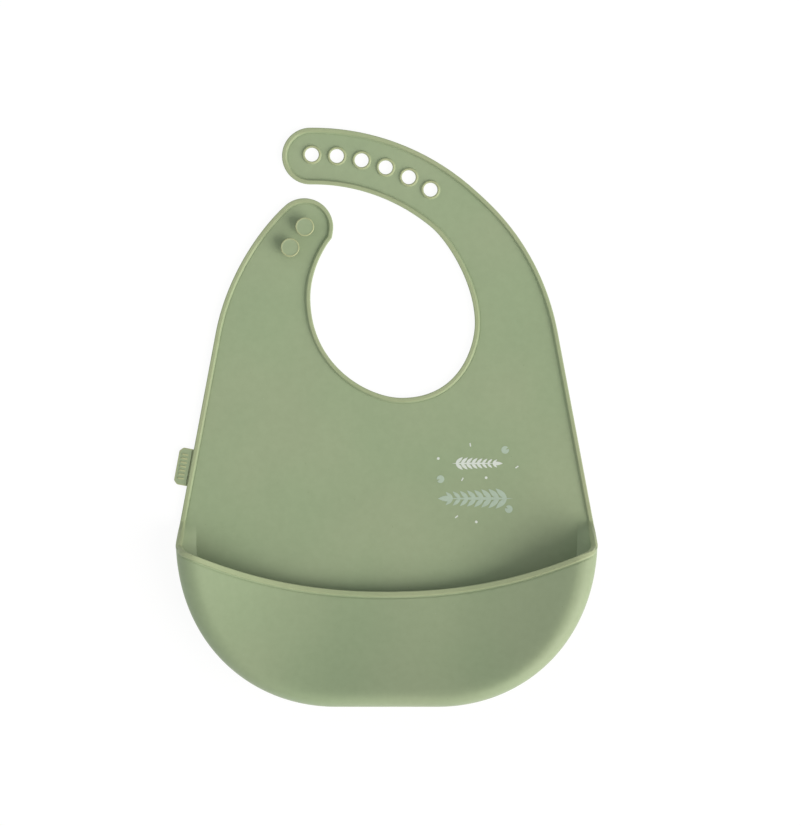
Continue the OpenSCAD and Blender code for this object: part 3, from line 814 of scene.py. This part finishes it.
def lip_at(x):
    """Plan points of the lip's middle line at places x."""
    x = np.asarray(x, float)
    return np.stack([x, LIP_Y + (LIP_END_Y - LIP_Y) * (np.abs(x) / LIP_X) ** LIP_POWER], axis=-1)


def with_height(q, z):
    """Plan points with their heights."""
    return np.concatenate([q, z[..., None]], axis=-1)


WALL_ROWS, CROWN_ROWS, FRONT_ROWS = 15, 46, 30
GENTLE = 0.1  # how gently the wall rises from the panel


def wall_grids():
    """Outer and inner points of the wall, from its foot up to the widest line."""
    q = np.linspace(0, 1, WALL_ROWS)[None, :]
    run = 1 - np.sin(np.pi / 2 * q)[..., None]
    p, n, foot = wall_line[:, None], wall_normal[:, None], foot_at[:, None, None]
    climb = q - GENTLE * np.sin(np.pi * q)
    outer = with_height(p + n * foot * run, climb * top_out[:, None])
    return outer, with_height(p + n * (SHEET_T + (foot - SHEET_T) * run), mix(WEB_T, top_in[:, None], climb))


# Rows beside the lip, this far from its middle line
NEAR_LIP = np.array([3.8, 3.3, 2.9, 2.6, 2.35, 2.15, 1.95, 1.75, 1.5, 1.2, 0.8, 0.4, 0]) * MM
GROOVE_IN = 2.0 * MM  # from the lip's middle to the faint groove in the sheet beside it
GROOVE_HALF = 0.42 * MM
GROOVE_DEEP = 0.32 * MM
lip_line = lip_at(np.linspace(-LIP_X, LIP_X, 500))


def outer_z(q):
    """Height of the sheet's outer face, with the groove beside the lip."""
    groove = np.exp(-((distance_to(lip_line, q) - GROOVE_IN) / GROOVE_HALF) ** 2)
    return crown_z(q, 0) - GROOVE_DEEP * groove


def rows_to_lip(start, end):
    """Shares of the way from start points to the lip, close together over the shoulder and beside the lip."""
    length = np.linalg.norm(end - start, axis=1)[:, None]
    full_length = 10 * MM  # on shorter ways the rows beside the lip are closer together
    near = 1 - NEAR_LIP * np.minimum(1, length / full_length) / length
    far = near[:, :1] * np.linspace(0, 1, CROWN_ROWS)[None, :-1] ** 2
    return np.concatenate([far, near], axis=1)[..., None]


def crown_grids(a, b, end, t):
    """Outer and inner points of the sheet from the widest line to the end points, over the round shoulder."""
    p = wall_line[a:b + 1, None]
    out_plan = mix(p, end[:, None], t)
    in_plan = mix(p + SHEET_T * wall_normal[a:b + 1, None], end[:, None], t)
    return with_height(out_plan, outer_z(out_plan)), with_height(in_plan, crown_z(in_plan, SHEET_T))


def lip_of(i):
    """Where the lines of side stations meet the lip."""
    i = np.asarray(i)
    steps = np.where(i < last / 2, left_cut - i, i - right_cut)
    x = np.sign(i - last / 2) * mix(CUT_X, LIP_X, steps / SIDE_STEPS)
    return lip_at(x)


def side_grids(a, b):
    """Outer and inner points of a side of the sheet, from the widest line to the lip."""
    ends = lip_of(np.arange(a, b + 1))
    return crown_grids(a, b, ends, rows_to_lip(wall_line[a:b + 1], ends))


def ledge_grids():
    """The same for its middle, up to the line where the front bends."""
    p = wall_line[left_cut:right_cut + 1]
    ends = np.stack([p[:, 0], np.full(len(p), FLAP_Y)], axis=1)
    return crown_grids(left_cut, right_cut, ends, np.linspace(0, 1, CROWN_ROWS)[None, :, None] ** 2)


def front_grids():
    """The same for the front, from that line to the lip."""
    start = ledge[0][:, -1, :2]
    end = lip_at(start[:, 0])
    near = 1 - NEAR_LIP / (end - start)[:, 1:]
    far = near[:, :1] * np.linspace(0, 1, FRONT_ROWS)[None, :-1]
    q = mix(start[:, None], end[:, None], np.concatenate([far, near], axis=1)[..., None])
    return with_height(q, outer_z(q)), with_height(q, crown_z(q, SHEET_T))


side_span = {"left": (left_corner, left_cut), "right": (right_cut, right_corner)}
walls = wall_grids()
sides = {s: side_grids(*span) for s, span in side_span.items()}
ledge = ledge_grids()
front = front_grids()


def pocket_normals(k, a, b, beyond):
    """Normals of face k of the wall from station a to b and of each grid beyond it, computed over all of them
    at once. Face 0 is the outer one."""
    heart = np.array([0, -80 * MM, 0])
    wall_part = walls[k][a:b + 1]
    rows = np.concatenate([wall_part] + [g[:, 1:] for g in beyond], axis=1)
    n = np.cross(np.gradient(rows, axis=0), np.gradient(rows, axis=1))
    n /= np.maximum(np.linalg.norm(n, axis=2, keepdims=True), 1e-12)
    outward = np.sum(n[:, :WALL_ROWS] * (wall_part - heart)) > 0
    n *= 1 if outward == (k == 0) else -1
    found, start = [], 0
    for g in [wall_part] + beyond:
        found.append(n[:, start:start + g.shape[1]])
        start += g.shape[1] - 1
    return found


wall_normals = [np.zeros_like(face) for face in walls]
side_normals = {"left": [], "right": []}
ledge_normals, front_normals = [], []
for k in (0, 1):
    for a, b in ((0, left_corner), (right_corner, last)):
        wall_normals[k][a:b + 1] = pocket_normals(k, a, b, [])[0]
    for s, (a, b) in side_span.items():
        wall_normals[k][a:b + 1], found = pocket_normals(k, a, b, [sides[s][k]])
        side_normals[s].append(found)
    middle_part, on_ledge, on_front = pocket_normals(k, left_cut, right_cut, [ledge[k], front[k]])
    wall_normals[k][left_cut + 1:right_cut] = middle_part[1:-1]
    ledge_normals.append(on_ledge)
    front_normals.append(on_front)


def side_bend(side):
    """The bend of a side sheet. Its edge runs from the front's side cut to just short of the corner, so that
    the rising edge stays still. Along the cut it moves exactly as the middle of the front does."""
    s = -1 if side == "left" else 1
    start = np.array([s * CUT_X, FLAP_Y])
    normal = left_of(unit(SIDE_BEND_END * [s, 1] - start)) * s
    length = (LIP_Y - FLAP_Y) * normal[1]
    return "bib", "pocket_front", start, start + length * normal


front_bend = ("bib", "pocket_front", (0, FLAP_Y), (0, LIP_Y))


def stretch(grids, a, b):
    """The part of each grid from station a to b."""
    return [g[a:b + 1] for g in grids]


def with_wall(wall, beyond):
    """Each grid of the middle of the wall, joined to the one beyond it."""
    parts = zip(stretch(wall, left_cut, right_cut), beyond)
    return [np.concatenate([g, more[:, 1:]], axis=1) for g, more in parts]


def sheet_piece(node, grids, normals, **where):
    """A piece from its outer and inner grid of points and of normals."""
    m, n = grids[0].shape[:2]
    vertices, vertex_normals = (np.vstack([g.reshape(-1, 3) for g in pair]) for pair in (grids, normals))
    moulded(node, vertices, shell_faces(m, n), normals=vertex_normals, **where)


for s, span in (("left", (0, left_cut)), ("right", (right_cut, last))):
    sheet_piece("pocket_wall_" + s, stretch(walls, *span), stretch(wall_normals, *span), body="bib")
sheet_piece("pocket_wall_bottom", with_wall(walls, ledge), with_wall(wall_normals, ledge_normals), body="bib")
for s in side_span:
    sheet_piece("pocket_side_" + s, sides[s], side_normals[s], bend=side_bend(s))
sheet_piece("pocket_front", front, front_normals, bend=front_bend)

foot_line = walls[0][:, 0, :2]
web("lower_panel", [(0, fold_right), (fold_left, edge_length)], extra=[foot_line], body="bib")


# ---- the beaded lip ----

BEAD_H = 0.95 * BEAD_R  # half the bead's height


def bead_back(half, soft_out, soft_in):
    """The bead's cross-section from its outer top corner, round its underside, to the mouth side."""
    return (
        bow((-BEAD_R + soft_out, BEAD_H - soft_out), soft_out, 90, 180, 6)
        + bow((-BEAD_R + soft_out, -BEAD_H + soft_out), soft_out, 180, 270, 5)
        + bow((half - soft_in, -BEAD_H + soft_in), soft_in, 270, 360, 4)
    )


def band_profile():
    """Cross-section of the lip's bead: a soft-cornered band with a faint hollow along its top.
    Points are (across, towards the mouth; up, away from the pocket's inside)."""
    soft_out, soft_in, hollow = 0.75 * MM, 0.5 * MM, 0.1 * MM
    top_corner = bow((BEAD_R - soft_in, BEAD_H - soft_in), soft_in, 0, 90, 5)
    return np.array(top_corner + [(0, BEAD_H - hollow)] + bead_back(BEAD_R, soft_out, soft_in))


def flank_profile():
    """The same for the bead along the rising edge, where it goes on from the rim and has a sloping flank."""
    soft_out, soft_in, top_end, foot = 0.6 * MM, 0.3 * MM, 0.35 * MM, 1.3 * MM
    flank = bow((top_end, BEAD_H - soft_in), soft_in, 28, 90, 2)
    slope = [tuple(mix(np.array([foot, 0]), np.array(flank[0]), t)) for t in (0, 1 / 3, 2 / 3)]
    return np.array(slope + flank + [(-0.2 * MM, BEAD_H)] + bead_back(foot, soft_out, soft_in))


BEAD_DROP = 0.4 * MM  # from the sheet's outer face down to the bead's middle
BEAD_LEVEL = 0.4  # the bead's top leans back from the sheet towards level by this share


def crown_normal(p):
    """Outward normals of the sheet over plan points p."""
    e = 0.5 * MM
    dx, dy = ((crown_z(p + step, 0) - crown_z(p - step, 0)) / (2 * e) for step in e * np.eye(2))
    return unit(np.stack([-dx, -dy, np.ones_like(dx)], axis=-1))


def bead_piece(node, path, up, share, bend):
    """The bead along a path, its top facing along up. Its cross-section is the band by the share, and for
    the rest it is the rim's."""
    profiles = mix(flank_profile(), band_profile(), share[:, None, None])
    ahead = unit(np.gradient(path, axis=0))
    across = unit(np.cross(up, ahead))
    up = np.cross(ahead, across)
    vertices = [p + a * u + b * v for p, u, v, profile in zip(path, across, up, profiles) for a, b in profile]
    faces = sweep_faces(*profiles.shape[:2])
    # The whole bead gets the rims' share of painted highlight
    moulded(node, vertices, faces, raised=np.full(len(vertices), RIM_HIGHLIGHT), bend=bend)


def lip_stretch(x):
    """Path and top directions of the lip over places x."""
    p = lip_at(x)
    up = unit(mix(crown_normal(p), np.array([0, 0, 1]), BEAD_LEVEL))
    return with_height(p, crown_z(p, 0) - BEAD_DROP), up


CORNER_TILT = 38  # the rim's top leans out by this much at the pocket's corner, in degrees
CORNER_BLEND = 14 * MM  # past the corner, over which the rim's cross-section turns into the band
CORNER_ROUNDS = 4  # rounds of smoothing that turn the corner into a bow
LIP_SHORT = 1.2 * MM  # the smoothed path leaves the lip this far before its end
LIP_STATIONS = 110


def lip_left():
    """Path of the lip's left part, along the rising edge, round the corner and in to the front's side cut,
    with its top directions and with the share of the band in its cross-section."""
    p = wall_line[:left_corner + 1] + BEAD_R * np.array([1, 0])
    rise = with_height(p, top_in[:left_corner + 1])
    tilt = np.radians(CORNER_TILT * smooth(index[:left_corner + 1] / left_corner))
    rise_up = np.stack([-np.sin(tilt), 0 * tilt, np.cos(tilt)], axis=1)
    x = -mix(LIP_X - LIP_SHORT, CUT_X, np.linspace(0, 1, 60) ** 1.3)
    along, along_up = lip_stretch(x)
    points = np.vstack([rise, along])
    s = lengths_along(points)
    even = np.linspace(0, s[-1], LIP_STATIONS)
    path, up = (values_at(even, s, v) for v in (points, np.vstack([rise_up, along_up])))
    for _ in range(CORNER_ROUNDS):
        for v in (path, up):
            v[1:-1] = v[1:-1] / 2 + (v[:-2] + v[2:]) / 4
    return path, unit(up), smooth((even - s[left_corner]) / CORNER_BLEND)


left_path, left_up, left_share = lip_left()
flip = np.array([-1, 1, 1])
right_path, right_up = left_path[::-1] * flip, left_up[::-1] * flip
bead_piece("pocket_lip_left", left_path, left_up, left_share, side_bend("left"))
bead_piece("pocket_lip_right", right_path, right_up, left_share[::-1], side_bend("right"))
middle_x = np.linspace(-CUT_X, CUT_X, LIP_STATIONS)
bead_piece("pocket_lip", *lip_stretch(middle_x), np.ones(len(middle_x)), front_bend)


# ---- side tag ----

tag_low, tag_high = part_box("side_tag")
TAG_W, TAG_L, TAG_BEND = 7.6 * MM, 20.5 * MM, 1.6 * MM
tag_at, tag_along = hinge("tag_flip")
tag_out = left_of(tag_along)


def tag_place(out, along):
    """The plan point that far out from the tag's axis and along it."""
    return tag_at + out * tag_out + along * tag_along


def soft_loop(points, radius, n=6):
    """A closed loop with its corners rounded, as plan points."""
    points = np.asarray(points, float)
    found = []
    for i, p in enumerate(points):
        a, b = unit(points[i - 1] - p), unit(points[(i + 1) % len(points)] - p)
        start, end = p + radius * a, p + radius * b
        found += [(1 - t) ** 2 * start + 2 * t * (1 - t) * p + t * t * end for t in np.linspace(0, 1, n)]
    return np.array(found)


def pillow(loop, low, high, soft, border=None):
    """Vertices and faces of a plate with a rounded upper edge and a slight bevel below. With a border, the
    top gets one more round of vertices, that far inside the rounded edge."""
    if np.sum(loop[:, 0] * np.roll(loop[:, 1], -1) - np.roll(loop[:, 0], -1) * loop[:, 1]) < 0:
        loop = loop[::-1]
    bevel = 0.15 * MM
    rings = [(bevel, low), (0, low + bevel)] + bow((soft, high - soft), soft, 180, 90, 5)
    if border:
        rings.append((soft + border, high))
    inward = left_of(unit(np.roll(loop, -1, axis=0) - np.roll(loop, 1, axis=0)))
    vertices = [(*p, z) for d, z in rings for p in loop + d * inward]
    n = len(loop)
    skin = [(i * n + j, i * n + (j + 1) % n, (i + 1) * n + (j + 1) % n, (i + 1) * n + j)
            for i in range(len(rings) - 1) for j in range(n)]
    return vertices, skin + [tuple(reversed(range(n))), tuple((len(rings) - 1) * n + j for j in range(n))]


def side_tag():
    """A flat tag with its outer corners cut. The bend where it leaves the rim is worked out, but not applied.
    """
    cut, inner, half = 2 * MM, -0.2 * MM, TAG_L / 2
    # Strength of the painted highlight on the tag's edge
    tag_edge_highlight = 0.7
    corners = [(inner, -half), (TAG_W - cut, -half), (TAG_W, -half + cut), (TAG_W, half - cut),
               (TAG_W - cut, half), (inner, half)]
    loop = soft_loop([tag_place(*c) for c in corners], 0.7 * MM)
    bend = ("bib", "side_tag", tag_place(0, 0), tag_place(TAG_BEND, 0))
    vertices, faces = pillow(loop, tag_low.z, tag_high.z, 0.35 * MM, 0.5 * MM)
    # Painted highlight on the tag's rounded edge, none on the top inside its border
    raised = np.where(np.arange(len(vertices)) < len(vertices) - len(loop), tag_edge_highlight, 0)
    moulded("side_tag", vertices, faces, raised=raised, bend=bend)


def side_tag_mark():
    """A plain pattern of bars that stand up across the tag, with painted highlight all over them."""
    vertices, faces = [], []
    bar_half = np.array([1.7, 0.5]) * MM
    # The last of these is the strength of the painted highlight on the bars
    pitch, sunk_in, off_middle, pale = 2.2 * MM, 0.2 * MM, 0.3 * MM, 0.8
    for i in range(-3, 4):
        middle_at = np.array([TAG_W / 2 + off_middle, i * pitch])
        corners = [middle_at + bar_half * way for way in ([-1, -1], [1, -1], [1, 1], [-1, 1])]
        loop = soft_loop([tag_place(*c) for c in corners], 0.35 * MM)
        v, f = pillow(loop, tag_high.z - sunk_in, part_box("side_tag_mark")[1].z, 0.2 * MM)
        faces += [tuple(len(vertices) + k for k in face) for face in f]
        vertices += v
    moulded("side_tag_mark", vertices, faces, raised=np.full(len(vertices), pale), body="side_tag")


side_tag()
side_tag_mark()


# ---- print ----

INK_T, INK_SUNK = 0.12 * MM, 0.05 * MM  # above the web's face, and into it


def print_piece(node, loops, material, slot, holes=()):
    """Flat shapes of ink on the web."""
    make_piece(node, *plate(loops, WEB_T - INK_SUNK, WEB_T + INK_T, holes), material, slot, body="bib")


def leaf(at, length, width, turn):
    """Outline of a leaf that starts at a point and grows along a heading."""
    t = np.linspace(0, 1, 15)
    upper = np.stack([length * t, width / 2 * np.sin(np.pi * t**0.85)], axis=1)
    loop = np.vstack([upper, (upper * [1, -1])[-2:0:-1]])
    return at + loop[:, :1] * heading(turn) + loop[:, 1:] * heading(turn + 90)


def sprig(at, length, width, pairs, turn):
    """A stem with a leaf at its end and pairs of leaflets that get smaller towards it."""
    first, final = 0.08, 0.8  # where along the stem the first and the last pair sit
    spread, slim = 42, 0.34  # how far a leaflet turns from the stem, and its width over its length
    loops = [leaf(at, length * 0.9, width * 0.13, turn),
             leaf(at + length * final * heading(turn), length * (1 - final), width * 0.26, turn)]
    for t in np.linspace(first, final, pairs):
        size = width * (0.72 - 0.34 * t)
        foot = at + length * t * heading(turn)
        loops += [leaf(foot, size, size * slim, turn + side * spread) for side in (1, -1)]
    return loops


def disc(at, radius, n=32):
    return arc(at, radius, 0, 360, n)


def sprigs():
    """The upper sprig grows to the right, the lower one to the left."""
    pairs = 8
    for node, width, turn, material, slot in (("print_sprig_upper", 7.6 * MM, 0, PALE_INK, "ink_pale"),
                                              ("print_sprig_lower", 12 * MM, 180, AQUA_INK, "ink_aqua")):
        low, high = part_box(node)
        root = np.array([low.x if turn == 0 else high.x, (low.y + high.y) / 2])
        print_piece(node, sprig(root, high.x - low.x, width, pairs, turn), material, slot)


def round_leaves():
    """Discs with a notch cut from the middle to the edge."""
    radius = 2.1 * MM
    notch = np.array([(0.4, 0), (3, -0.9), (3, 0.9)]) * MM
    spots = np.array([[64.8, 16.8], [29.4, 0.8], [66.8, -15.6]]) * MM
    turns = [30, 200, 150]
    notches = [at + notch @ [heading(turn), heading(turn + 90)] for at, turn in zip(spots, turns)]
    print_piece("print_round_leaves", [disc(at, radius) for at in spots], AQUA_INK, "ink_aqua", notches)


def dots():
    radius = 0.75 * MM
    spots = np.array([[28.2, 12.1], [54.4, 1.6], [49, -22.6]]) * MM
    print_piece("print_dots", [disc(at, radius) for at in spots], PALE_INK, "ink_pale")


def dashes():
    half_long, half_wide, soft = 1.0 * MM, 0.35 * MM, 0.3 * MM
    places = [(45.7, 19.6, 100), (71.2, 7.4, 35), (41.4, 0.7, 60), (38.2, -19.8, 40)]
    loops = []
    for x, y, turn in places:
        at, a, b = np.array([x, y]) * MM, half_long * heading(turn), half_wide * heading(turn + 90)
        loops.append(soft_loop([at - a - b, at + a - b, at + a + b, at - a + b], soft, 4))
    print_piece("print_dashes", loops, PALE_INK, "ink_pale")


sprigs()
round_leaves()
dots()
dashes()


# ---- floor, light and camera ----

def floor():
    """A plain pale floor under the bib."""
    material, tree, shader, coords = new_material("floor", 0.9)
    shade = ramp(tree, noise(tree, coords, 3, 1), 0.3, 0.7, 0, 1)
    grey = colour_mix(tree, shade, (0.10, 0.10, 0.10), (0.09, 0.09, 0.09))
    tree.links.new(grey, shader.inputs["Base Color"])
    shader.inputs["Specular IOR Level"].default_value = 0.1
    shader.inputs["Emission Color"].default_value = (1, 1, 1, 1)
    shader.inputs["Emission Strength"].default_value = 0.92
    reach = 6
    z = cad_low.z - 0.1 * MM
    mesh = bpy.data.meshes.new("floor")
    corners = [(-reach, -reach, z), (reach, -reach, z), (reach, reach, z), (-reach, reach, z)]
    mesh.from_pydata(corners, [], [(0, 1, 2, 3)])
    mesh.materials.append(material)
    placed("floor", mesh)


def sun(name, direction, share, spread_deg, colour=(1, 1, 1)):
    """A soft distant light from a direction. A surface square to it gets that share of full white."""
    data = bpy.data.lights.new(name, "SUN")
    data.energy = share * math.pi
    data.angle = math.radians(spread_deg)
    data.color = colour
    lamp = placed(name, data)
    lamp.rotation_mode = "QUATERNION"
    lamp.rotation_quaternion = Vector(direction).to_track_quat("Z", "Y")


def overhead(place, size, share):
    """A soft square panel that hangs over the strap and faces down. Right below it, a level surface gets
    that share of full white."""
    data = bpy.data.lights.new("overhead", "AREA")
    data.size = size
    data.energy = share * (math.pi * place[2]) ** 2
    lamp = placed("overhead", data)
    lamp.location = place
    lamp.visible_camera = False


def world(strength):
    scene = bpy.context.scene
    scene.world = bpy.data.worlds.new("studio")
    scene.world.use_nodes = True
    background = scene.world.node_tree.nodes["Background"]
    background.inputs["Color"].default_value = (0.96, 1, 0.965, 1)
    background.inputs["Strength"].default_value = strength
    scene.view_settings.view_transform = "Standard"


def camera():
    """Straight above the bib, which lies a little left of the picture's middle."""
    height = 2.6
    view_height = 0.4523  # the length of floor along the picture's longer side
    off_x, off_y = 8.4 * MM, 1.9 * MM
    data = bpy.data.cameras.new("camera")
    data.sensor_width = 36
    data.lens = height * data.sensor_width / view_height
    middle = (cad_low + cad_high) / 2
    cam = placed("camera", data)
    cam.location = (middle.x + off_x, middle.y + off_y, height)
    bpy.context.scene.camera = cam


floor()
world(0.39)
sun("key", (0.74, -0.43, 0.50), 1.02, 54, (1.0, 0.96, 0.90))
sun("side_fill", (-0.90, 0.10, 0.28), 0.18, 60, (0.97, 0.985, 1.0))
overhead((0.0, 0.25, 0.30), 0.3, 0.12)
camera()
